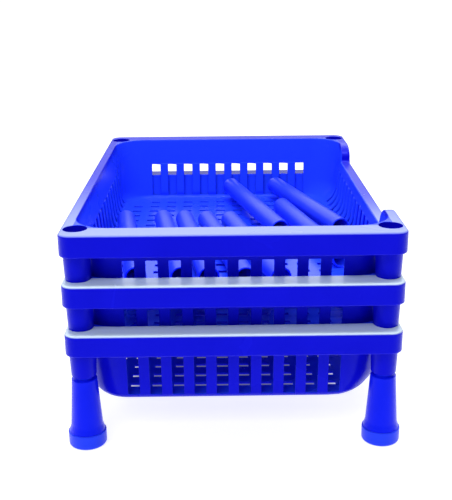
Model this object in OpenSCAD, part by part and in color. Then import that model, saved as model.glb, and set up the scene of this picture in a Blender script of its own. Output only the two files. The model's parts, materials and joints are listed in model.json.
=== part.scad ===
// Three-tier stacking kitchen rack, knocked down for storage.
// Three identical slotted baskets nest in each other, the bottom one stands on
// four short flared legs with foot caps, and the eight long posts that space
// the tiers apart lie loose in the top basket.
// X runs across the rack, Y runs from the near end to the far end, Z is up.
// The origin is on the ground below the middle of the rack.

/* [Basket] */
// Width of a basket over its rim
basket_w = 280; // [270:1:300]
// Length of a basket over its rim
basket_l = 410; // [400:1:440]
// Height of a basket from its underside to the top of its rim
basket_h = 71.5; // [70:0.5:76]
// Thickness of the moulded walls
wall = 2.2; // [1.8:0.1:2.4]
// Distance between the rims of two nested baskets
nest_pitch = 43; // [42:0.5:46]
// Height of the rim's outer band
band_h = 18.8; // [16:0.2:20]
// Depth of the low access front on the +X side
dip = 17.5; // [12:0.5:19]

/* [Slots] */
// Width of a slot in a wall
slot_w = 10; // [6:0.5:11]
// Distance between two slots
slot_pitch = 19.2; // [18:0.1:19.4]
// Length of a drain slot in the floor, across the rack
drain_w = 10; // [6:0.5:12]
// Width of a drain slot in the floor, along the rack
drain_l = 6; // [4:0.5:8]

/* [Posts and legs] */
// Outer diameter of a post
post_d = 19.2; // [18:0.1:19.3]
// Length of a post
post_l = 188; // [180:1:190]
// Diameter of the hole through a corner socket
socket_d = 19.5; // [19.4:0.1:20]
// Height of the lowest basket's rim above the ground
stand_h = 108.5; // [104:0.5:130]
// Radius of a foot cap
foot_r = 16.3; // [15.6:0.1:17]
// Height of a foot cap
foot_h = 13; // [10:0.5:14]

/* [Hidden] */
$fn = 64;

// Colours of the moulded plastic
basket_blue = [0.05, 0.08, 0.95];
leg_blue = [0.02, 0.10, 0.90];
cap_blue = [0.08, 0.20, 0.92];
post_blue = [0.10, 0.20, 0.95];

// Heights of the three rims
rim_bottom = stand_h;
rim_middle = stand_h + nest_pitch;
rim_top = stand_h + 2 * nest_pitch;

// Rim: the top is wide at the ends, where the corner sockets are, and narrow at the sides
rim_r = 11;
rim_end = 22;
rim_side = 9;
open_w = basket_w - 2 * rim_side;
open_l = basket_l - 2 * rim_end;
open_r = 32;

// Low access front: each shoulder's distance from its end and its length, and the fillet below it
shoulder_near = [64, 19];
shoulder_far = [50, 26];
dip_fillet = 4;
shoulder_h = dip - dip_fillet;
arc_steps = 8;

// Tub: drafted walls, rounded into the floor
draft_side = 0.10;
draft_end = 0.11;
floor_r = 14;
floor_r_front = 24;
floor_r_end = 5.4;
tub_levels = [0, 0.9, 3.2, 7, 11, 14, 24];
thin = 0.01;
hull_fn = 32;

// Corner sockets
socket_x = basket_w / 2 - 12.5;
socket_y = basket_l / 2 - 21;
socket_r_top = 12.3;
socket_r_end = 10.7;
stop_depth = 22;
stop_h = 2;
stop_r = 7.5;

// Wall slots and the ribs between them
slot_top = 29;
slot_foot = 4.8;
slots_end = 10;
slots_side = 15;
rib_w = 7.4;
rib_t = 0.9;
rib_top = 28.4;
rib_foot = basket_h - floor_r / 2;
drain_cols = 11;
drain_rows = 17;
drain_x0 = -drain_cols / 2 * slot_pitch;

// Legs and foot caps
neck_h = 3.2;
neck_r = 8;
neck_edge = 0.6;
spigot_r = 9.65;
leg_r_top = 10.8;
leg_r_low = 13.7;
flare_h = 6;
flare_r = 15.4;
leg_wall = 2.2;
tip_r = 13.5;
cap_floor = 3;
cap_fit = 0.1;
cap_edge = 2.5;
cap_bevel = 0.5;
leg_top = rim_bottom - nest_pitch - neck_h;

// Posts
post_wall = 1.5;
post_gap = 0.3;
post_rest = basket_h - wall - post_d / 2 - post_gap;
// Near end of each loose post: x, distance from the near rim, depth below the rim, turn
loose_posts = [
    [-85, 68, post_rest, 8],
    [-45, 67, post_rest, 8],
    [-20.5, 66, post_rest, 8.5],
    [11.5, 64, post_rest, 11],
    [42.5, 63, post_rest, 13],
    [103, 115, post_rest, 13.5],
    [50.5, 189, 53.5, 14.5],
    [111.5, 194, 53.5, 17]
];

// Inset of the tub's wall at a height h above its underside, for a floor round of radius r
function inset(h, r) = h < r ? r - sqrt(r * r - (r - h) * (r - h)) : 0;

// Half-profile of the low front, offset by t into the material, from one end's distance s
function dip_half(shoulder, t) = let (steep = shoulder[0] + shoulder[1]) concat(
    [for (i = [0 : arc_steps])
        let (a = 90 * i / arc_steps)
        [shoulder[0] + (shoulder[1] - t) * sin(a), -shoulder_h + (shoulder_h - t) * cos(a)]],
    [for (i = [1 : arc_steps])
        let (a = 90 * i / arc_steps)
        [steep + dip_fillet - (dip_fillet + t) * cos(a), -shoulder_h - (dip_fillet + t) * sin(a)]]);

function reverse(list) = [for (i = [len(list) - 1 : -1 : 0]) list[i]];

// Whole profile along Y, near end first
function dip_curve(t) = let (e = basket_l / 2) concat(
    [for (p = dip_half(shoulder_near, t)) [p[0] - e, p[1]]],
    [for (p = reverse(dip_half(shoulder_far, t))) [e - p[0], p[1]]]);

function shift_down(list, d) = [for (p = list) [p[0], p[1] - d]];

// Rectangle with round corners, in the XY plane
module round_rect(w, l, r) {
    square([w - 2 * r, l], center = true);
    square([w, l - 2 * r], center = true);
    for (x = [-1, 1], y = [-1, 1])
        translate([x * (w / 2 - r), y * (l / 2 - r)])
            circle(r);
}

// Extrudes a YZ outline along X, from x_from to x_to
module along_x(x_from, x_to) {
    translate([x_from, 0, 0])
        rotate([90, 0, 90])
            linear_extrude(x_to - x_from)
                children();
}

module at_corners() {
    for (x = [-1, 1], y = [-1, 1])
        translate([x * socket_x, y * socket_y, 0])
            children();
}

// Solid of the tub, smaller by t than its outside, from the floor up to height top
module tub_solid(t, top) {
    depth = basket_h - t;
    r = open_r + wall - t;
    hull()
        for (h = concat(tub_levels, [depth + top]))
            let (down = depth - h,
                 half_w = open_w / 2 + wall - t - draft_side * down,
                 half_l = open_l / 2 + wall - t - draft_end * down,
                 back = inset(h, floor_r - t),
                 front = inset(h, floor_r_front - t),
                 end = inset(h, floor_r_end - t))
            for (x = [-1, 1], y = [-1, 1])
                translate([x * (half_w - r) - (x > 0 ? front - back : 0), y * (half_l - r + back - end), -down])
                    cylinder(h = thin, r = r - back, $fn = hull_fn);
}

// Flat rim with its outer band
module rim() {
    translate([0, 0, -wall])
        linear_extrude(wall)
            round_rect(basket_w, basket_l, rim_r);
    translate([0, 0, -band_h])
        linear_extrude(band_h - wall)
            difference() {
                round_rect(basket_w, basket_l, rim_r);
                round_rect(basket_w - 2 * wall, basket_l - 2 * wall, rim_r - wall);
            }
}

// Rim and band of the low front, which follow the dip
module low_front() {
    top = dip_curve(0);
    along_x(basket_w / 2 - wall, basket_w / 2)
        polygon(concat(top, reverse(shift_down(top, band_h))));
    along_x(open_w / 2 - draft_side * basket_h, basket_w / 2)
        polygon(concat(top, reverse(dip_curve(wall))));
}

// Space above the low front
module dip_cut() {
    near = shoulder_near[0] - basket_l / 2;
    far = basket_l / 2 - shoulder_far[0];
    along_x(open_w / 2 - 2 * wall - draft_side * basket_h, basket_w / 2 + wall)
        polygon(concat(dip_curve(0), [[far, wall], [near, wall]]));
}

// Tapered tube that takes a post from above and a post or a leg from below
module socket_outside() {
    translate([0, 0, -nest_pitch])
        cylinder(h = nest_pitch - thin, r1 = socket_r_end, r2 = socket_r_top);
}

module socket_bore() {
    translate([0, 0, -stop_depth])
        cylinder(h = stop_depth + wall, d = socket_d);
    translate([0, 0, -nest_pitch - wall])
        cylinder(h = nest_pitch + wall - stop_depth - stop_h, d = socket_d);
    translate([0, 0, -nest_pitch])
        cylinder(h = nest_pitch, r = stop_r);
}

// Slots through the four walls
module wall_slots() {
    slot_h = basket_h - slot_foot - slot_top;
    reach = floor_r_front + draft_side * basket_h;
    for (k = [0 : slots_end - 1], y = [-1, 1])
        translate([(k - (slots_end - 1) / 2) * slot_pitch - slot_w / 2,
                   y * (open_l / 2 + wall) - (y > 0 ? reach : 0),
                   -slot_top - slot_h])
            cube([slot_w, reach, slot_h]);
    for (k = [0 : slots_side - 1], x = [-1, 1])
        translate([x * (open_w / 2 + wall) - (x > 0 ? reach : 0),
                   (k - (slots_side - 1) / 2) * slot_pitch - slot_w / 2,
                   -slot_top - slot_h])
            cube([reach, slot_w, slot_h]);
}

// Drain slots in the floor, none of them in the round of a corner
module drains() {
    translate([0, 0, -basket_h - wall])
        linear_extrude(2 * wall + thin)
            for (c = [0 : drain_cols - 1], r = [0 : drain_rows - 1])
                if (c > 0 || (r > 0 && r < drain_rows - 1))
                    translate([drain_x0 + c * slot_pitch, (r - (drain_rows - 1) / 2) * slot_pitch])
                        square([drain_w, drain_l], center = true);
}

// Inner face of a drafted wall as a thin strip from rib_top down to the floor round
function rib_strip(half, draft) = [
    [half - draft * rib_top - rib_t, -rib_top],
    [half - draft * rib_top + rib_t, -rib_top],
    [half - draft * rib_foot + rib_t, -rib_foot],
    [half - draft * rib_foot - rib_t, -rib_foot]];

// Low ribs on the bars between the slots
module ribs() {
    for (k = [1 : slots_end - 1], side = [0, 180])
        rotate([0, 0, side])
            translate([(k - slots_end / 2) * slot_pitch, 0, 0])
                along_x(-rib_w / 2, rib_w / 2)
                    polygon(rib_strip(open_l / 2, draft_end));
    for (k = [1 : slots_side - 1], side = [-90, 90])
        rotate([0, 0, side])
            translate([(k - slots_side / 2) * slot_pitch, 0, 0])
                along_x(-rib_w / 2, rib_w / 2)
                    polygon(rib_strip(open_w / 2, draft_side));
}

// One basket, with the top of its rim at the height z
module basket(z) {
    translate([0, 0, z]) {
        difference() {
            union() {
                rim();
                low_front();
                tub_solid(0, -wall / 2);
                at_corners() socket_outside();
            }
            tub_solid(wall, wall);
            dip_cut();
            at_corners() socket_bore();
            wall_slots();
            drains();
        }
        ribs();
    }
}

module basket_top() { color(basket_blue) basket(rim_top); }
module basket_middle() { color(basket_blue) basket(rim_middle); }
module basket_bottom() { color(basket_blue) basket(rim_bottom); }

// Hollow leg: spigot, neck, flared body and the tip that sits in the cap
module leg(x, y) {
    socket_end = rim_bottom - nest_pitch;
    spigot_top = rim_bottom - stop_depth - stop_h;
    color(leg_blue)
        translate([x * socket_x, y * socket_y, 0])
            rotate_extrude()
                polygon([
                    [spigot_r, spigot_top],
                    [spigot_r, socket_end],
                    [neck_r, socket_end - neck_edge],
                    [neck_r, leg_top],
                    [leg_r_top - neck_edge, leg_top],
                    [leg_r_top, leg_top - neck_edge],
                    [leg_r_low, foot_h + flare_h],
                    [flare_r, foot_h],
                    [tip_r, foot_h],
                    [tip_r, cap_floor],
                    [tip_r - leg_wall, cap_floor],
                    [tip_r - leg_wall, foot_h + flare_h],
                    [neck_r - leg_wall, leg_top - neck_h],
                    [neck_r - leg_wall, spigot_top]]);
}

module leg_near_left() { leg(-1, -1); }
module leg_near_right() { leg(1, -1); }
module leg_far_left() { leg(-1, 1); }
module leg_far_right() { leg(1, 1); }

// Cup-shaped cap pushed onto the leg's tip
module foot_cap(x, y) {
    round_foot = [for (i = [0 : arc_steps])
        let (a = 90 * i / arc_steps)
        [foot_r - cap_edge + cap_edge * sin(a), cap_edge - cap_edge * cos(a)]];
    color(cap_blue)
        translate([x * socket_x, y * socket_y, 0])
            rotate_extrude()
                polygon(concat(
                    [[0, cap_floor], [0, 0]],
                    round_foot,
                    [[foot_r, foot_h - cap_bevel],
                     [foot_r - cap_bevel, foot_h],
                     [tip_r + cap_fit, foot_h],
                     [tip_r + cap_fit, cap_floor]]));
}

module foot_cap_near_left() { foot_cap(-1, -1); }
module foot_cap_near_right() { foot_cap(1, -1); }
module foot_cap_far_left() { foot_cap(-1, 1); }
module foot_cap_far_right() { foot_cap(1, 1); }

// Open tube, lying in the top basket
module post(place) {
    color(post_blue)
        translate([place[0], place[1] - basket_l / 2, rim_top - place[2]])
            rotate([0, 0, place[3]])
                rotate([-90, 0, 0])
                    difference() {
                        cylinder(h = post_l, d = post_d);
                        translate([0, 0, -thin])
                            cylinder(h = post_l + 2 * thin, d = post_d - 2 * post_wall);
                    }
}

module post_1() { post(loose_posts[0]); }
module post_2() { post(loose_posts[1]); }
module post_3() { post(loose_posts[2]); }
module post_4() { post(loose_posts[3]); }
module post_5() { post(loose_posts[4]); }
module post_6() { post(loose_posts[5]); }
module post_7() { post(loose_posts[6]); }
module post_8() { post(loose_posts[7]); }

basket_top();
basket_middle();
basket_bottom();
leg_near_left();
leg_near_right();
leg_far_left();
leg_far_right();
foot_cap_near_left();
foot_cap_near_right();
foot_cap_far_left();
foot_cap_far_right();
post_1();
post_2();
post_3();
post_4();
post_5();
post_6();
post_7();
post_8();
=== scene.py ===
"""Looks of the knock-down basket rack: nested baskets, legs with foot caps, and loose posts."""
import json
import math

import bmesh
import bpy
from mathutils import Matrix, Vector


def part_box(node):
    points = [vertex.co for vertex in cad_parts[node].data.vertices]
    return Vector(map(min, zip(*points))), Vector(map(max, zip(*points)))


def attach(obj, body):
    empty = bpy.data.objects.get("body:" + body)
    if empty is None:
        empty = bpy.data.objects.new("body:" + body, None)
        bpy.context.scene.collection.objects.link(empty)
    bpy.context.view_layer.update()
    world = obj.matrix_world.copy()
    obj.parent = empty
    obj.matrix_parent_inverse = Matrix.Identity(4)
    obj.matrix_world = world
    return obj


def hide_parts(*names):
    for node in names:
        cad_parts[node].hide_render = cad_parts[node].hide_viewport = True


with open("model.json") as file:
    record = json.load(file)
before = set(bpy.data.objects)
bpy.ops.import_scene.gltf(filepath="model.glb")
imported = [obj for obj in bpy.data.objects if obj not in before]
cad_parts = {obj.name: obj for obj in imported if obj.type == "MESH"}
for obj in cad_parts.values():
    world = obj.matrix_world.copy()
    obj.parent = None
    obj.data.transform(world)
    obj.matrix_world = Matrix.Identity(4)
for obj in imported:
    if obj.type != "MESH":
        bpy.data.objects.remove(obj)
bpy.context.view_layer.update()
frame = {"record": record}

# Whole basket, from the frame
BASKET_LO, BASKET_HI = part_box("basket_top")
RIM_X = BASKET_HI.x
RIM_Y = BASKET_HI.y
HEIGHT = BASKET_HI.z - BASKET_LO.z

# Rim and band: its rounds at the mouth, the outer edge and the hem, with a guard line beside each
WALL = 0.0022
BAND = 0.0188
RIM_R = 0.011
LIP = 0.0010
EDGE = 0.0022
HEM = 0.0008
LIP_STEPS = 3
EDGE_STEPS = 4
HEM_STEPS = 2
GUARD = 0.0006
OPEN_X = RIM_X - 0.009
OPEN_Y = RIM_Y - 0.022
OPEN_R = 0.032

# Low access front on the +X side: each shoulder's distance from its end and its length
SHOULDER_NEAR = (0.064, 0.019)
SHOULDER_FAR = (0.050, 0.026)
SHOULDER_H = 0.0135
DIP_FILLET = 0.004
SHOULDER_STEPS = 12
FILLET_STEPS = 5

# Tub
DRAFT_X = 0.10
DRAFT_Y = 0.11
ROUND_BACK = 0.014
ROUND_FRONT = 0.024
ROUND_END = 0.0054

# Slots, ribs and drains: the slots run from a height above the underside to a depth below the rim
PITCH = 0.0192
SLOT = 0.010
SLOTS_END = 10
SLOTS_SIDE = 15
SLOT_LOW = 0.0048
SLOT_DOWN = 0.029
SLOT_HIGH = HEIGHT - SLOT_DOWN
RIB = 0.0074
RIB_T = 0.0009
RIB_LOW = 0.008
RIB_OVER = 0.0008
RIB_HIGH = SLOT_HIGH + RIB_OVER
DRAIN = 0.006
EASE = 0.00045
EASE_STEPS = 2

# Heights of the tub's rows above its underside, and over each face of the floor near its round
LEVELS = [SLOT_LOW, 0.0056, 0.0065, RIB_LOW, 0.011, 0.014, 0.019, 0.024, 0.034,
          SLOT_HIGH, RIB_HIGH, RIB_HIGH + RIB_T]
FLOOR_RISE = {0.0: [0.0003, 0.0013, 0.0030], WALL: [0.0001, 0.0004, 0.0012]}

# Where the four strips of walls meet the corners, and how finely a corner is divided
STRIP_X = 0.095
STRIP_Y = 0.143
CORNER_STEPS = 18
ARC_STEPS = 10
SIDE_FROM = 13

# The floor's flat part beyond the strips: the outermost drains, the rows beside an end wall, and
# how many rows there are before a wall rises
DRAIN_ROW = (SLOTS_SIDE + 1) / 2 * PITCH
DRAIN_COLUMN = (SLOTS_END + 1) / 2 * PITCH
END_FLOOR = (STRIP_Y, DRAIN_ROW - DRAIN / 2, DRAIN_ROW + DRAIN / 2)
FLOOR_ROWS = 4

# Corner sockets
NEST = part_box("basket_top")[1].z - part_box("basket_middle")[1].z
SOCKET_R = 0.00975
SOCKET_OUT = 0.0116
SOCKET_END = 0.0107
STOP_DEPTH = 0.022
STOP_H = 0.002
STOP_R = 0.0075
MOUTH = 0.0005
TOOL_TURN = math.radians(1.7)

# Fineness of turned shapes, the tools' overlap, the sharpest smooth edge, the smallest distances
TURN_STEPS = 64
OVER = 0.001
SHARP = math.radians(48)
WELD = 2e-6
HAIR = 1e-5


# ---------------------------------------------------------------- mesh helpers

def grid(bm, rows):
    """Adds one vertex for each point of the rows."""
    return [[bm.verts.new(p) for p in row] for row in rows]


def skin(bm, rows):
    """Adds quads through rows of points."""
    verts = grid(bm, rows)
    for low, high in zip(verts, verts[1:]):
        for j in range(len(low) - 1):
            bm.faces.new((low[j], low[j + 1], high[j + 1], high[j]))


# Each neighbour of a cell, with the two corners of the cell on its side
NEIGHBOURS = ((-1, 0, (0, 0), (0, 1)), (1, 0, (1, 0), (1, 1)),
              (0, -1, (0, 0), (1, 0)), (0, 1, (0, 1), (1, 1)))


def shell(bm, outer, inner, is_open):
    """Adds two matching skins, with the open cells left out and their sides closed."""
    sheets = grid(bm, outer), grid(bm, inner)
    n_rows, n_cols = len(outer) - 1, len(outer[0]) - 1
    for i in range(n_rows):
        for j in range(n_cols):
            if not is_open(i, j):
                for v in sheets:
                    bm.faces.new((v[i][j], v[i][j + 1], v[i + 1][j + 1], v[i + 1][j]))
                continue
            for di, dj, a, b in NEIGHBOURS:
                if not is_open(i + di, j + dj):
                    p, q = [[v[i + a[0]][j + a[1]], v[i + b[0]][j + b[1]]] for v in sheets]
                    bm.faces.new((p[0], p[1], q[1], q[0])).tag = True


def weld(bm):
    """Makes one vertex of those at the same place."""
    bmesh.ops.remove_doubles(bm, verts=bm.verts, dist=WELD)


def merge(bm):
    """Closes a mesh built from separate skins, with its faces turned outwards."""
    weld(bm)
    bmesh.ops.recalc_face_normals(bm, faces=bm.faces)


def rounded(corners, steps=4):
    """Outline through (radius, height, fillet) corners."""
    points = []
    for k, (r, z, fillet) in enumerate(corners):
        p = Vector((r, z))
        if fillet == 0:
            points.append(p)
            continue
        before = (Vector(corners[k - 1][:2]) - p).normalized()
        after = (Vector(corners[(k + 1) % len(corners)][:2]) - p).normalized()
        half = before.angle(after) / 2
        centre = p + (before + after).normalized() * fillet / math.sin(half)
        start = p + before * fillet / math.tan(half)
        end = p + after * fillet / math.tan(half)
        for s in range(steps + 1):
            points.append(centre + (start.lerp(end, s / steps) - centre).normalized() * fillet)
    return points


def turned(outline):
    """Mesh of an outline of (radius, height) points turned about the Z axis."""
    if outline[0][0] > 0:
        outline = outline + [outline[0]]
    bm = bmesh.new()
    angles = [2 * math.pi * k / TURN_STEPS for k in range(TURN_STEPS)] + [0.0]
    skin(bm, [[(r * math.cos(a), r * math.sin(a), z) for r, z in outline] for a in angles])
    merge(bm)
    return bm


def finished_mesh(bm, name):
    """Mesh with smooth faces and true hard edges."""
    bm.normal_update()
    for face in bm.faces:
        face.smooth = True
    for edge in bm.edges:
        edge.smooth = len(edge.link_faces) == 2 and edge.calc_face_angle() < SHARP
    mesh = bpy.data.meshes.new(name)
    bm.to_mesh(mesh)
    bm.free()
    return mesh


def add_object(name, mesh):
    """Object with a mesh, in the scene."""
    obj = bpy.data.objects.new(name, mesh)
    bpy.context.scene.collection.objects.link(obj)
    return obj


def applied(obj):
    """Gives an object the mesh that its modifiers make, and removes them."""
    evaluated = obj.evaluated_get(bpy.context.evaluated_depsgraph_get())
    mesh = bpy.data.meshes.new_from_object(evaluated)
    obj.modifiers.clear()
    obj.data = mesh
    return obj


def weigh_normals(obj):
    """Turns the shading of the large faces level, so that only the rounds curve."""
    weighted = obj.modifiers.new("normals", "WEIGHTED_NORMAL")
    weighted.keep_sharp = True
    return applied(obj)


def piece(name, mesh, node, material):
    """Puts a finished mesh in the scene for a CAD node, on the body that the node rides on."""
    obj = weigh_normals(add_object(name, mesh))
    obj.data.materials.clear()
    obj.data.materials.append(material)
    body = NODE_BODY[node]
    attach(obj, body)
    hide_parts(node)
    return obj


# ---------------------------------------------------------------- tub of a basket

def inset(h, r):
    """How far a floor round of radius r stands in from the wall at height h."""
    return r - math.sqrt(r * r - (r - h) ** 2) if h < r else 0.0


def tub_corner(t, down, sx):
    """Arc centre and radius of a corner at a depth below the rim, t inside its outer face."""
    h = max(0.0, HEIGHT - t - down)
    back = inset(h, ROUND_BACK - t)
    front = inset(h, ROUND_FRONT - t) if sx > 0 else back
    end = inset(h, ROUND_END - t)
    cx = OPEN_X - OPEN_R - DRAFT_X * down - (front - back)
    cy = OPEN_Y - OPEN_R - DRAFT_Y * down - (end - back)
    return cx, cy, OPEN_R + WALL - t - back


def end_y(t, down, x):
    """Distance along of an end wall's face at x, at a depth below the rim."""
    cx, cy, r = tub_corner(t, down, x)
    return cy + math.sqrt(r * r - max(0.0, abs(x) - cx) ** 2)


def side_x(t, down, sx, y):
    """Distance across of a side wall's face at y, at a depth below the rim."""
    cx, cy, r = tub_corner(t, down, sx)
    return cx + math.sqrt(r * r - max(0.0, abs(y) - cy) ** 2)


def corner_plan(t, down, sx, f):
    """Point and outward direction at a fraction f of the way round a corner, from end to side."""
    cx, cy, r = tub_corner(t, down, sx)
    start = max(0.0, cx - STRIP_X)
    stop = max(0.0, cy - STRIP_Y)
    a0 = math.asin(max(0.0, STRIP_X - cx) / r)
    a1 = math.pi / 2 - math.asin(max(0.0, STRIP_Y - cy) / r)
    s = f * (start + r * (a1 - a0) + stop)
    if s < start:
        return Vector((STRIP_X + s, cy + r)), Vector((0, 1))
    if s > start + r * (a1 - a0):
        return Vector((cx + r, cy - (s - start - r * (a1 - a0)))), Vector((1, 0))
    out = Vector((math.sin(a0 + (s - start) / r), math.cos(a0 + (s - start) / r)))
    return Vector((cx, cy)) + out * r, out


def slot_middle(k, count):
    """Middle of one of a wall's evenly spaced openings."""
    return (k - (count - 1) / 2) * PITCH


def wall_lines(count, extra, end):
    """Lines along a wall at its slots' and ribs' edges, and at other distances from the slots."""
    lines = {-end, end}
    for k in range(count):
        middle = slot_middle(k, count)
        for d in [SLOT / 2] + extra:
            lines |= {middle - d, middle + d}
        if k < count - 1:
            lines |= {middle + (PITCH - RIB) / 2, middle + (PITCH + RIB) / 2}
    return sorted(lines)


X_LINES = wall_lines(SLOTS_END, [], STRIP_X)
Y_LINES = wall_lines(SLOTS_SIDE, [DRAIN / 2], STRIP_Y)


def within(lines, j, count, width):
    """True where the cell between two lines lies in one of a wall's evenly spaced openings."""
    middle = (lines[j] + lines[j + 1]) / 2
    k = round(middle / PITCH + (count - 1) / 2)
    return 0 <= k < count and abs(middle - slot_middle(k, count)) < width / 2


def rib(t, h, along, count):
    """How far a wall's face stands proud on the bars between slots: only the inner one has ribs."""
    k = round(along / PITCH + count / 2)
    on_bar = 1 <= k < count and abs(along - (k - count / 2) * PITCH) < RIB / 2 + HAIR
    return RIB_T if t > 0 and on_bar and RIB_LOW - HAIR < h < RIB_HIGH + HAIR else 0.0


def row_heights(t):
    """Heights above the underside of the rows over the floor's flat part."""
    return [t + rise for rise in FLOOR_RISE[t]] + LEVELS


def end_rows(t, sy):
    """Rows from the floor up an end wall."""
    floor_z = t - HEIGHT
    rows = [[(x, sy * y, floor_z) for x in X_LINES] for y in END_FLOOR]
    rows.append([(x, sy * end_y(t, HEIGHT - t, x), floor_z) for x in X_LINES])
    for h in row_heights(t):
        rows.append([(x, sy * (end_y(t, HEIGHT - h, x) - rib(t, h, x, SLOTS_END)), h - HEIGHT)
                     for x in X_LINES])
    return rows


def side_floor(sx):
    """Distances across of the floor's rows beside a side wall."""
    if sx < 0:
        return [STRIP_X, DRAIN_COLUMN - SLOT / 2, DRAIN_COLUMN + SLOT / 2]
    edge = side_x(0, HEIGHT, sx, 0)
    return [STRIP_X, STRIP_X + (edge - STRIP_X) / 3, STRIP_X + (edge - STRIP_X) * 2 / 3]


def side_rows(t, sx):
    """Rows from the floor up a side wall."""
    floor_z = t - HEIGHT
    rows = [[(sx * x, y, floor_z) for y in Y_LINES] for x in side_floor(sx)]
    rows.append([(sx * side_x(t, HEIGHT - t, sx, y), y, floor_z) for y in Y_LINES])
    for h in row_heights(t):
        rows.append([(sx * (side_x(t, HEIGHT - h, sx, y) - rib(t, h, y, SLOTS_SIDE)), y, h - HEIGHT)
                     for y in Y_LINES])
    return rows


def corner_rows(t, sx, sy):
    """Rows from the floor up a corner, each as its points from the end wall to the side wall."""
    fractions = [j / CORNER_STEPS for j in range(CORNER_STEPS + 1)]
    apex = Vector((STRIP_X, STRIP_Y))
    edge = [corner_plan(t, HEIGHT - t, sx, f)[0] for f in fractions]
    floor_z = t - HEIGHT
    plans = []
    for y, x in zip(END_FLOOR, side_floor(sx)):
        at_end = (y - apex.y) / (edge[0].y - apex.y)
        at_side = (x - apex.x) / (edge[-1].x - apex.x)
        plans.append([(apex.lerp(p, at_end + (at_side - at_end) * f), floor_z)
                      for p, f in zip(edge, fractions)])
    plans.append([(p, floor_z) for p in edge])
    for h in row_heights(t):
        plans.append([(corner_plan(t, HEIGHT - h, sx, f)[0], h - HEIGHT) for f in fractions])
    return [[(sx * p.x, sy * p.y, z) for p, z in row] for row in plans]


def add_tub(bm):
    """Floor, walls and corners, with the slots, ribs and drains."""
    slot_first = FLOOR_ROWS + len(FLOOR_RISE[WALL])
    slot_last = slot_first + LEVELS.index(SLOT_HIGH)
    drain_row = 1

    def centre_open(i, j):
        return within(X_LINES, j, SLOTS_END, SLOT) and within(Y_LINES, i, SLOTS_SIDE, DRAIN)

    def end_open(i, j):
        in_row = i == drain_row or slot_first <= i < slot_last
        return in_row and within(X_LINES, j, SLOTS_END, SLOT)

    def side_open(i, j, drained):
        if slot_first <= i < slot_last:
            return within(Y_LINES, j, SLOTS_SIDE, SLOT)
        return drained and i == drain_row and within(Y_LINES, j, SLOTS_SIDE, DRAIN)

    floors = [[[(x, y, t - HEIGHT) for x in X_LINES] for y in Y_LINES] for t in (0.0, WALL)]
    shell(bm, *floors, centre_open)
    for s in (-1, 1):
        shell(bm, end_rows(0.0, s), end_rows(WALL, s), end_open)
        shell(bm, side_rows(0.0, s), side_rows(WALL, s), lambda i, j: side_open(i, j, s < 0))
        for sx in (-1, 1):
            shell(bm, corner_rows(0.0, sx, s), corner_rows(WALL, sx, s), lambda i, j: False)


# ---------------------------------------------------------------- rim of a basket

def crest(sx, y0, t):
    """Place along Y and height of the rim's top, t inside it, at the distance y0 of its surface."""
    s = RIM_Y - abs(y0)
    start, length = SHOULDER_NEAR if y0 < 0 else SHOULDER_FAR
    bottom = start + length + DIP_FILLET
    if sx < 0 or s <= start:
        return y0, -t
    if s <= start + length:
        a = math.asin(min(1.0, (s - start) / length))
        s = start + (length - t) * math.sin(a)
        z = -SHOULDER_H + (SHOULDER_H - t) * math.cos(a)
    elif s < bottom:
        a = math.acos(min(1.0, (bottom - s) / DIP_FILLET))
        s = bottom - (DIP_FILLET + t) * math.cos(a)
        z = -SHOULDER_H - (DIP_FILLET + t) * math.sin(a)
    else:
        return y0, -SHOULDER_H - DIP_FILLET - t
    return math.copysign(RIM_Y - s, y0), z


def end_column(x, sy):
    """Points across the rim over an end wall: on the mouth, the tub's outside, the edge and hem."""
    return (lambda e, t: (x, sy * (end_y(WALL, t, x) + e), -t),
            lambda t: (x, sy * end_y(0.0, t, x), -t),
            lambda e, t: (x, sy * (RIM_Y - e), -t),
            lambda e, up: (x, sy * (RIM_Y - e), up - BAND))


def side_column(sx, y0):
    """The same points over a side wall."""
    def mouth(e, t):
        y, z = crest(sx, y0, t)
        return sx * (side_x(WALL, -z, sx, y) + e), y, z

    def tub(t):
        y, z = crest(sx, y0, t)
        return sx * side_x(0.0, -z, sx, y), y, z

    return (mouth, tub,
            lambda e, t: (sx * (RIM_X - e), *crest(sx, y0, t)),
            lambda e, up: (sx * (RIM_X - e), y0, crest(sx, y0, 0.0)[1] + up - BAND))


def corner_column(sx, sy, j):
    """The same points round a corner."""
    f = j / CORNER_STEPS
    if j >= SIDE_FROM:
        return side_column(sx, sy * corner_plan(WALL, 0.0, sx, f)[0].y)

    def edge(e):
        if j == 0:
            return STRIP_X, RIM_Y - e
        if j <= ARC_STEPS + 1:
            a = math.pi / 2 * (j - 1) / ARC_STEPS
            return (RIM_X - RIM_R + (RIM_R - e) * math.sin(a),
                    RIM_Y - RIM_R + (RIM_R - e) * math.cos(a))
        last = corner_plan(WALL, 0.0, sx, SIDE_FROM / CORNER_STEPS)[0].y
        return RIM_X - e, (RIM_Y - RIM_R + last) / 2

    def mouth(e, t):
        p, out = corner_plan(WALL, t, sx, f)
        return sx * (p.x + out.x * e), sy * (p.y + out.y * e), -t

    def tub(t):
        p = corner_plan(0.0, t, sx, f)[0]
        return sx * p.x, sy * p.y, -t

    def outer(e, t):
        x, y = edge(e)
        return sx * x, sy * y, -t

    return mouth, tub, outer, lambda e, up: outer(e, BAND - up)


def quarter(r, steps):
    """Steps round a quarter circle: distance from the one face and from the other."""
    turns = [math.pi / 2 * k / steps for k in range(steps + 1)]
    return [(r * (1 - math.cos(a)), r * (1 - math.sin(a))) for a in turns]


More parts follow.
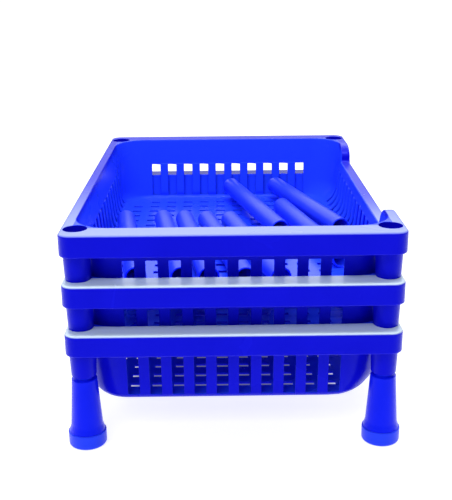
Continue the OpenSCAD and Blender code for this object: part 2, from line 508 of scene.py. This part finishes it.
def section(column):
    """Points across the rim: from the mouth over the top, down the band, up inside to the tub."""
    mouth, tub, outer, hem = column
    points = [mouth(0.0, LIP + GUARD)]
    points += [mouth(e, t) for e, t in quarter(LIP, LIP_STEPS)]
    points += [mouth(LIP + GUARD, 0.0), outer(EDGE + GUARD, 0.0)]
    points += [outer(e, t) for t, e in quarter(EDGE, EDGE_STEPS)]
    points += [outer(0.0, EDGE + GUARD), hem(0.0, HEM + GUARD)]
    points += [hem(e, up) for e, up in quarter(HEM, HEM_STEPS)]
    points += [hem(WALL - e, up) for up, e in quarter(HEM, HEM_STEPS)]
    points += [hem(WALL, HEM + GUARD), outer(WALL, WALL + GUARD)]
    points += [outer(WALL, WALL), tub(WALL), tub(WALL + GUARD)]
    return points


def dip_half(shoulder):
    """Distances from the end at which one half of the low front's rim is divided."""
    start, length = shoulder
    bottom = start + length + DIP_FILLET
    places = [start + length * math.sin(math.pi / 2 * k / SHOULDER_STEPS)
              for k in range(SHOULDER_STEPS + 1)]
    places += [bottom - DIP_FILLET * math.cos(math.pi / 2 * k / FILLET_STEPS)
               for k in range(1, FILLET_STEPS + 1)]
    first = RIM_Y - STRIP_Y
    return [first] + [s for s in places if s > first + GUARD]


def dip_places():
    """Distances along the low front at which its rim is divided."""
    near = [s - RIM_Y for s in dip_half(SHOULDER_NEAR)]
    return near + [RIM_Y - s for s in dip_half(SHOULDER_FAR)[::-1]]


def add_panel(bm, low, high):
    """One flat face between two rows of points of any lengths."""
    bm.faces.new([bm.verts.new(p) for p in low + high[::-1]])


def add_rim(bm):
    """Rim on all four sides and round the corners, with the low front's dip on the +X side."""
    for s in (-1, 1):
        end = [section(end_column(x, s)) for x in (-STRIP_X, STRIP_X)]
        places = dip_places() if s > 0 else (-STRIP_Y, STRIP_Y)
        side = [section(side_column(s, y)) for y in places]
        skin(bm, end)
        skin(bm, side)
        for t, k in ((WALL, 0), (0.0, -1)):
            add_panel(bm, end_rows(t, s)[-1], [points[k] for points in end])
            add_panel(bm, side_rows(t, s)[-1], [points[k] for points in side])
        for sx in (-1, 1):
            corner = [section(corner_column(sx, s, j)) for j in range(CORNER_STEPS + 1)]
            skin(bm, corner)
            for t, k in ((WALL, 0), (0.0, -1)):
                skin(bm, [corner_rows(t, sx, s)[-1], [points[k] for points in corner]])


def ease_openings(bm):
    """Small rounds along the edges of the slots and drains."""
    def on_opening(edge):
        tags = [face.tag for face in edge.link_faces]
        return len(tags) == 2 and any(tags) and edge.calc_face_angle() > SHARP

    bm.normal_update()
    bmesh.ops.bevel(bm, geom=[e for e in bm.edges if on_opening(e)], offset=EASE,
                    offset_type="OFFSET", segments=EASE_STEPS, profile=0.5, affect="EDGES",
                    clamp_overlap=False)


def boolean(obj, operation, tools):
    """Joins or cuts a mesh with others, and removes them."""
    for tool in tools:
        modifier = obj.modifiers.new(operation, "BOOLEAN")
        modifier.operation = operation
        modifier.solver = "EXACT"
        modifier.object = tool
    applied(obj)
    for tool in tools:
        bpy.data.objects.remove(tool)


def at_sockets(outline, name):
    """One copy of a turned outline at each corner socket, as one object."""
    joined = bmesh.new()
    for node in SOCKET_LEGS:
        lo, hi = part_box(node)
        bm = turned(outline)
        middle = ((lo.x + hi.x) / 2, (lo.y + hi.y) / 2, 0)
        place = Matrix.Translation(middle) @ Matrix.Rotation(TOOL_TURN, 4, "Z")
        bmesh.ops.transform(bm, matrix=place, verts=bm.verts)
        mesh = bpy.data.meshes.new(name)
        bm.to_mesh(mesh)
        bm.free()
        joined.from_mesh(mesh)
        bpy.data.meshes.remove(mesh)
    mesh = bpy.data.meshes.new(name)
    joined.to_mesh(mesh)
    joined.free()
    return add_object(name, mesh)


def add_sockets(obj):
    """Tapered tubes under the rim's corners, with a bore from each end and a stop between them."""
    tube = [(0.0, -WALL / 2), (SOCKET_OUT, -WALL / 2), (SOCKET_OUT, -BAND),
            (SOCKET_END, 2 * MOUTH / 3 - NEST), (SOCKET_END - 2 * MOUTH / 3, -NEST), (0.0, -NEST)]
    bore = [(0.0, OVER), (SOCKET_R + MOUTH + OVER, OVER), (SOCKET_R, -MOUTH),
            (SOCKET_R, -STOP_DEPTH), (STOP_R, -STOP_DEPTH), (STOP_R, -STOP_DEPTH - STOP_H),
            (SOCKET_R, -STOP_DEPTH - STOP_H), (SOCKET_R, -NEST - OVER), (0.0, -NEST - OVER)]
    boolean(obj, "UNION", [at_sockets(tube, "tubes")])
    boolean(obj, "DIFFERENCE", [at_sockets(bore, "bores")])


def basket_mesh():
    """One basket, with the top of its rim at height 0."""
    bm = bmesh.new()
    add_tub(bm)
    add_rim(bm)
    merge(bm)
    ease_openings(bm)
    obj = add_object("basket", finished_mesh(bm, "basket"))
    add_sockets(obj)
    bm = bmesh.new()
    bm.from_mesh(obj.data)
    weld(bm)
    bpy.data.objects.remove(obj)
    return finished_mesh(bm, "basket")


# ---------------------------------------------------------------- legs, foot caps and posts

NECK_R = 0.008
SPIGOT_R = 0.00965
LEG_TOP_R = 0.0108
LEG_LOW_R = 0.0137
FLARE_H = 0.006
TIP_R = 0.0135
LEG_WALL = 0.0022
NECK_H = 0.0032
CAP_FLOOR = 0.003
CAP_FIT = 0.0001
POST_L = 0.188
POST_WALL = 0.0015

# Rounds of the turned pieces, from the crispest edge to the flare, and the seat under a socket
CRISP = 0.0002
FINE = 0.0004
SPIGOT_EDGE = 0.0005
SOFT = 0.0007
NECK_EDGE = 0.0003
CAP_SOFT = 0.0025
HOLLOW = 0.003
FLARE = 0.012
SEAT_UP = 0.0004
SEAT_DOWN = 0.0002
POST_EDGE_STEPS = 2


def leg_mesh(node, cap):
    """Hollow flared leg with its spigot and neck, from its own box and its cap's."""
    lo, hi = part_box(node)
    flare_r = (hi.x - lo.x) / 2
    foot_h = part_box(cap)[1].z
    socket_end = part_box("basket_bottom")[1].z - NEST
    leg_top = socket_end - NECK_H
    bm = turned(rounded([
        (SPIGOT_R, hi.z, SPIGOT_EDGE),
        (SPIGOT_R, socket_end + SEAT_UP, CRISP),
        (NECK_R, socket_end - SEAT_DOWN, CRISP),
        (NECK_R, leg_top, NECK_EDGE),
        (LEG_TOP_R, leg_top, SOFT),
        (LEG_LOW_R, foot_h + FLARE_H, FLARE),
        (flare_r, foot_h, FINE),
        (TIP_R, foot_h, CRISP),
        (TIP_R, CAP_FLOOR, FINE),
        (TIP_R - LEG_WALL, CAP_FLOOR, FINE),
        (TIP_R - LEG_WALL, foot_h + FLARE_H, HOLLOW),
        (NECK_R - LEG_WALL, leg_top - NECK_H, HOLLOW),
        (NECK_R - LEG_WALL, hi.z, SPIGOT_EDGE)]))
    bmesh.ops.translate(bm, verts=bm.verts, vec=((lo.x + hi.x) / 2, (lo.y + hi.y) / 2, 0))
    return finished_mesh(bm, node)


def cap_mesh(node):
    """Cup-shaped foot cap with a soft lower edge."""
    lo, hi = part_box(node)
    r = (hi.x - lo.x) / 2
    cup_r = TIP_R + CAP_FIT
    bm = turned(rounded([
        (0.0, 0.0, 0),
        (r, 0.0, CAP_SOFT),
        (r, hi.z, SOFT),
        (cup_r, hi.z, FINE),
        (cup_r, CAP_FLOOR, CRISP),
        (0.0, CAP_FLOOR, 0)]))
    bmesh.ops.translate(bm, verts=bm.verts, vec=((lo.x + hi.x) / 2, (lo.y + hi.y) / 2, 0))
    return finished_mesh(bm, node)


def post_mesh(node):
    """Open tube, laid where its box says: its far end turned towards -X."""
    lo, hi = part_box(node)
    d = hi.z - lo.z
    size = hi - lo
    turn = math.asin((POST_L * size.x - d * size.y) / (POST_L ** 2 - d ** 2))
    r = d / 2
    half = POST_L / 2
    bm = turned(rounded([
        (r, half, FINE),
        (r, -half, FINE),
        (r - POST_WALL, -half, FINE),
        (r - POST_WALL, half, FINE)], POST_EDGE_STEPS))
    lie = Matrix.Rotation(turn, 4, "Z") @ Matrix.Rotation(-math.pi / 2, 4, "X")
    bmesh.ops.transform(bm, matrix=Matrix.Translation((lo + hi) / 2) @ lie, verts=bm.verts)
    return finished_mesh(bm, node)


# ---------------------------------------------------------------- materials

# Each plastic's colour, roughness and specular level, and the colour of all gloss seen head on
BASKET_LOOK = ((0.002, 0.002, 0.61), 0.26, 0.35)
LEG_LOOK = ((0.003, 0.012, 0.86), 0.24, 0.4)
CAP_LOOK = ((0.016, 0.050, 0.92), 0.36, 0.5)
POST_LOOK = ((0.014, 0.045, 0.96), 0.36, 0.5)
GLOSS_TINT = (0.07, 0.10, 1.0)

# Painted light on the baskets: a paler blue on the tubs' inward and upward faces for the light from
# above, and a painted highlight on the rims' tops, fading towards the far end and the top tier
PAINTED_LIGHT_INSIDE_BLUE = (0.016, 0.06, 1.0)
INSIDE_FROM = -0.06
PAINTED_RIM_HIGHLIGHT_BLUE = (0.78, 0.95, 1.0)
RIM_HIGHLIGHT_TOP_TIER = 0.33
RIM_HIGHLIGHT_FAR = 0.05
RIM_HIGHLIGHT_FADE_TO = 0.0
UPWARD_FROM = 0.25
UPWARD_TO = 0.9

# Flow marks in the colour and the gloss, and the moulded grain
FLOW_SCALE = 14.0
FLOW_DETAIL = 4.0
FLOW_DISTORTION = 0.8
FLOW_DARK = 0.86
FLOW_LIGHT = 1.10
FLOW_LIFT = 0.002
FLOW_GLOSS = 0.06
GRAIN_SCALE = 900.0
GRAIN_DETAIL = 2.0
GRAIN_DEPTH = 0.00003
GRAIN_STRENGTH = 0.5

# The pale floor is a lit table: it shines by itself, less in the shade under the lowest basket
FLOOR_PALE = (0.48, 0.48, 0.48)
FLOOR_ROUGH = 0.9
FLOOR_SPECULAR = 0.1
FLOOR_GLOW = 0.84
SHADE_X = 0.075
SHADE_FAR = 0.14
SHADE_NEAR = -0.105
SHADE_FULL = -0.080
SHADE_EDGE = 0.05
SHADE_GLOW = 0.10


def node_link(tree, source, target):
    """Joins one shader socket to another."""
    tree.links.new(source, target)


def noise(tree, where, scale, detail, distortion=0.0):
    """Value of a noise over the piece's own coordinates."""
    node = tree.nodes.new("ShaderNodeTexNoise")
    for name, value in (("Scale", scale), ("Detail", detail), ("Distortion", distortion)):
        node.inputs[name].default_value = value
    node_link(tree, where.outputs["Object"], node.inputs["Vector"])
    return node.outputs["Fac"]


def split(tree, where, name):
    """The three numbers of a coordinate or direction."""
    node = tree.nodes.new("ShaderNodeSeparateXYZ")
    node_link(tree, where.outputs[name], node.inputs["Vector"])
    return [node.outputs[axis] for axis in "XYZ"]


def ramp(tree, source, low, high, bottom, top):
    """Smooth step from one value to another."""
    node = tree.nodes.new("ShaderNodeMapRange")
    node.interpolation_type = "SMOOTHSTEP"
    for name, value in (("From Min", low), ("From Max", high), ("To Min", bottom), ("To Max", top)):
        node.inputs[name].default_value = value
    node_link(tree, source, node.inputs["Value"])
    return node.outputs["Result"]


def maths(tree, operation, *terms):
    """Result of a sum or product of sockets and numbers."""
    node = tree.nodes.new("ShaderNodeMath")
    node.operation = operation
    for k, term in enumerate(terms):
        if isinstance(term, float):
            node.inputs[k].default_value = term
        else:
            node_link(tree, term, node.inputs[k])
    return node.outputs["Value"]


def mixed(tree, factor, surface, colour):
    """Colour socket mixed with another colour."""
    node = tree.nodes.new("ShaderNodeMix")
    node.data_type = "RGBA"
    node.inputs["B"].default_value = (*colour, 1.0)
    node_link(tree, factor, node.inputs["Factor"])
    node_link(tree, surface, node.inputs["A"])
    return node.outputs["Result"]


def basket_masks(tree, where):
    """Masks of the painted highlight on the rim's top, strongest near and low down, and of the
    painted light on the tub's inside and upward faces.
    """
    x, y, z = split(tree, where, "Object")
    out_x, out_y, up = split(tree, where, "Normal")
    end = ramp(tree, maths(tree, "ABSOLUTE", y), OPEN_Y, OPEN_Y + LIP, 0.0, 1.0)
    side = ramp(tree, maths(tree, "ABSOLUTE", x), OPEN_X - LIP, OPEN_X, 0.0, 1.0)
    on_rim = maths(tree, "MAXIMUM", end, side)
    upward = ramp(tree, up, UPWARD_FROM, UPWARD_TO, 0.0, 1.0)
    near = ramp(tree, y, -RIM_Y, RIM_HIGHLIGHT_FADE_TO, 1.0, RIM_HIGHLIGHT_FAR)
    low = ramp(tree, z, BASKET_HI.z - NEST, BASKET_HI.z, 1.0, RIM_HIGHLIGHT_TOP_TIER)
    # Painted highlight: pale where the rim's top faces up, most at the near end and on the lower
    # tiers
    painted_rim_highlight = maths(tree, "MULTIPLY", maths(tree, "MULTIPLY", on_rim, upward),
                   maths(tree, "MULTIPLY", near, low))
    # Painted light: the tub's inward and upward faces get a paler blue that stands in for light
    # from above
    outward = maths(tree, "ADD", maths(tree, "MULTIPLY", out_x, x),
                    maths(tree, "MULTIPLY", out_y, y))
    inward = ramp(tree, outward, INSIDE_FROM, 0.0, 1.0, 0.0)
    off_rim = maths(tree, "SUBTRACT", 1.0, on_rim)
    inside = maths(tree, "MULTIPLY", maths(tree, "MAXIMUM", inward, upward), off_rim)
    return painted_rim_highlight, inside


def plastic(name, look, is_basket=False):
    """Moulded polypropylene: faint flow marks in its colour and gloss, and a fine moulded grain."""
    colour, roughness, specular = look
    mat = bpy.data.materials.new(name)
    mat.use_nodes = True
    tree = mat.node_tree
    shader = tree.nodes["Principled BSDF"]
    shader.inputs["Specular IOR Level"].default_value = specular
    shader.inputs["Specular Tint"].default_value = (*GLOSS_TINT, 1.0)
    where = tree.nodes.new("ShaderNodeTexCoord")
    flow = noise(tree, where, FLOW_SCALE, FLOW_DETAIL, FLOW_DISTORTION)

    tint = tree.nodes.new("ShaderNodeMix")
    tint.data_type = "RGBA"
    tint.inputs["A"].default_value = (*[c * FLOW_DARK for c in colour], 1.0)
    tint.inputs["B"].default_value = (*[min(1.0, c * FLOW_LIGHT + FLOW_LIFT) for c in colour], 1.0)
    node_link(tree, flow, tint.inputs["Factor"])
    surface = tint.outputs["Result"]
    if is_basket:
        # A basket gets painted light: a paler blue inside and on upward faces, and a painted
        # highlight on its rim tops
        painted_rim_highlight, inside = basket_masks(tree, where)
        surface = mixed(tree, inside, surface, PAINTED_LIGHT_INSIDE_BLUE)
        surface = mixed(tree, painted_rim_highlight, surface, PAINTED_RIM_HIGHLIGHT_BLUE)
    node_link(tree, surface, shader.inputs["Base Color"])

    gloss = tree.nodes.new("ShaderNodeMapRange")
    gloss.inputs["To Min"].default_value = roughness - FLOW_GLOSS
    gloss.inputs["To Max"].default_value = roughness + FLOW_GLOSS
    node_link(tree, flow, gloss.inputs["Value"])
    node_link(tree, gloss.outputs["Result"], shader.inputs["Roughness"])

    bump = tree.nodes.new("ShaderNodeBump")
    bump.inputs["Strength"].default_value = GRAIN_STRENGTH
    bump.inputs["Distance"].default_value = GRAIN_DEPTH
    node_link(tree, noise(tree, where, GRAIN_SCALE, GRAIN_DETAIL), bump.inputs["Height"])
    node_link(tree, bump.outputs["Normal"], shader.inputs["Normal"])
    return mat


def floor_material():
    """Pale lit floor, with a soft contact shadow under the lowest basket."""
    mat = bpy.data.materials.new("pale_floor")
    mat.use_nodes = True
    tree = mat.node_tree
    shader = tree.nodes["Principled BSDF"]
    shader.inputs["Base Color"].default_value = (*FLOOR_PALE, 1.0)
    shader.inputs["Roughness"].default_value = FLOOR_ROUGH
    shader.inputs["Specular IOR Level"].default_value = FLOOR_SPECULAR
    shader.inputs["Emission Color"].default_value = (1.0, 1.0, 1.0, 1.0)
    x, y, _ = split(tree, tree.nodes.new("ShaderNodeTexCoord"), "Object")
    aside = ramp(tree, maths(tree, "ABSOLUTE", x), SHADE_X, SHADE_X + SHADE_EDGE, 0.0, 1.0)
    near = ramp(tree, y, SHADE_NEAR, SHADE_FULL, 1.0, 0.0)
    far = ramp(tree, y, SHADE_FAR, SHADE_FAR + SHADE_EDGE, 0.0, 1.0)
    lit = maths(tree, "MAXIMUM", aside, maths(tree, "MAXIMUM", near, far))
    glow = ramp(tree, lit, 0.0, 1.0, SHADE_GLOW, FLOOR_GLOW)
    node_link(tree, glow, shader.inputs["Emission Strength"])
    return mat


# ---------------------------------------------------------------- studio

# Camera: its place and turns in radians, its lens and sensor in mm, and how far it sees
CAMERA_AT = Vector((-0.0108, -0.8687, 0.3993))
CAMERA_PITCH = math.radians(18.15)
CAMERA_YAW = math.radians(0.42)
CAMERA_ROLL = -0.00907
LENS = 63.75
SENSOR = 36.0
VIEW_END = 100.0

# Half the width of the floor
FLOOR_HALF = 20.0

# Bright window of the surround, as heights and directions on the unit sphere
SKY_COLOUR = (0.93, 0.96, 1.0)
SKY_BASE = 0.24
SKY_WINDOW = 1.7
SKY_LOW = 0.21
SKY_HIGH = 0.33
SKY_TOP_FROM = 0.70
SKY_TOP_TO = 0.95
SKY_OVERHEAD = 0.5
SKY_BACK_FROM = 0.1
SKY_BACK_TO = 0.75

# The two soft lights: place, width, height and power, both aimed at the rack's middle
LIGHTS_AIM = (0.0, 0.0, 0.1)
TOP_LIGHT = ((0.0, -0.25, 1.9), 0.9, 0.7, 28.0)
FRONT_LIGHT = ((-0.7, -1.8, 1.9), 1.2, 1.0, 23.0)


def add_camera():
    """Camera at the near end, looking down into the top basket."""
    data = bpy.data.cameras.new("camera")
    data.lens = LENS
    data.sensor_width = SENSOR
    data.clip_end = VIEW_END
    camera = bpy.data.objects.new("camera", data)
    bpy.context.scene.collection.objects.link(camera)
    forward = Vector((math.sin(CAMERA_YAW) * math.cos(CAMERA_PITCH),
                      math.cos(CAMERA_YAW) * math.cos(CAMERA_PITCH),
                      -math.sin(CAMERA_PITCH)))
    camera.rotation_mode = "QUATERNION"
    level = forward.to_track_quat("-Z", "Y")
    camera.rotation_quaternion = level @ Matrix.Rotation(CAMERA_ROLL, 3, "Z").to_quaternion()
    camera.location = CAMERA_AT
    bpy.context.scene.camera = camera


def add_light(name, at, width, height, power):
    """Soft rectangular light."""
    data = bpy.data.lights.new(name, "AREA")
    data.shape = "RECTANGLE"
    data.size = width
    data.size_y = height
    data.energy = power
    light = bpy.data.objects.new(name, data)
    bpy.context.scene.collection.objects.link(light)
    light.location = at
    light.rotation_mode = "QUATERNION"
    light.rotation_quaternion = (Vector(LIGHTS_AIM) - Vector(at)).to_track_quat("-Z", "Y")


def add_sky():
    """Soft white surround: dim low down and in front, bright in a window above the far end."""
    world = bpy.data.worlds.new("studio")
    bpy.context.scene.world = world
    world.use_nodes = True
    tree = world.node_tree
    sky = tree.nodes["Background"]
    _, along, up = split(tree, tree.nodes.new("ShaderNodeTexCoord"), "Generated")
    above = ramp(tree, up, SKY_LOW, SKY_HIGH, 0.0, 1.0)
    below = ramp(tree, up, SKY_TOP_FROM, SKY_TOP_TO, 1.0, SKY_OVERHEAD)
    behind = ramp(tree, along, SKY_BACK_FROM, SKY_BACK_TO, 0.0, SKY_WINDOW)
    window = maths(tree, "MULTIPLY", maths(tree, "MULTIPLY", above, below), behind)
    node_link(tree, maths(tree, "ADD", window, SKY_BASE), sky.inputs["Strength"])
    sky.inputs["Color"].default_value = (*SKY_COLOUR, 1.0)


def add_studio():
    """Floor, surround and lights."""
    edges = (-FLOOR_HALF, FLOOR_HALF)
    bm = bmesh.new()
    skin(bm, [[(x, y, 0.0) for x in edges] for y in edges])
    floor = add_object("floor", finished_mesh(bm, "floor"))
    floor.data.materials.append(floor_material())
    add_sky()
    add_light("top", *TOP_LIGHT)
    add_light("front", *FRONT_LIGHT)
    bpy.context.scene.view_settings.view_transform = "Standard"


# ---------------------------------------------------------------- assembly

BODIES = frame["record"]["behaviour"]["bodies"]
NODE_BODY = {node: body for body, nodes in BODIES.items() for node in nodes}
SOCKET_LEGS = ["leg_near_left", "leg_near_right", "leg_far_left", "leg_far_right"]
POSTS = 8


def build():
    """Every piece of the rack."""
    basket_plastic = plastic("basket_plastic", BASKET_LOOK, is_basket=True)
    leg_plastic = plastic("leg_plastic", LEG_LOOK)
    cap_plastic = plastic("cap_plastic", CAP_LOOK)
    post_plastic = plastic("post_plastic", POST_LOOK)
    mesh = basket_mesh()
    for node in ("basket_top", "basket_middle", "basket_bottom"):
        copy = mesh.copy()
        copy.transform(Matrix.Translation((0, 0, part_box(node)[1].z)))
        piece(node + "_moulding", copy, node, basket_plastic)
    for leg in SOCKET_LEGS:
        cap = leg.replace("leg", "foot_cap")
        piece(leg + "_moulding", leg_mesh(leg, cap), leg, leg_plastic)
        piece(cap + "_moulding", cap_mesh(cap), cap, cap_plastic)
    for k in range(POSTS):
        post = "post_%d" % (k + 1)
        piece(post + "_tube", post_mesh(post), post, post_plastic)


add_camera()
add_studio()
build()
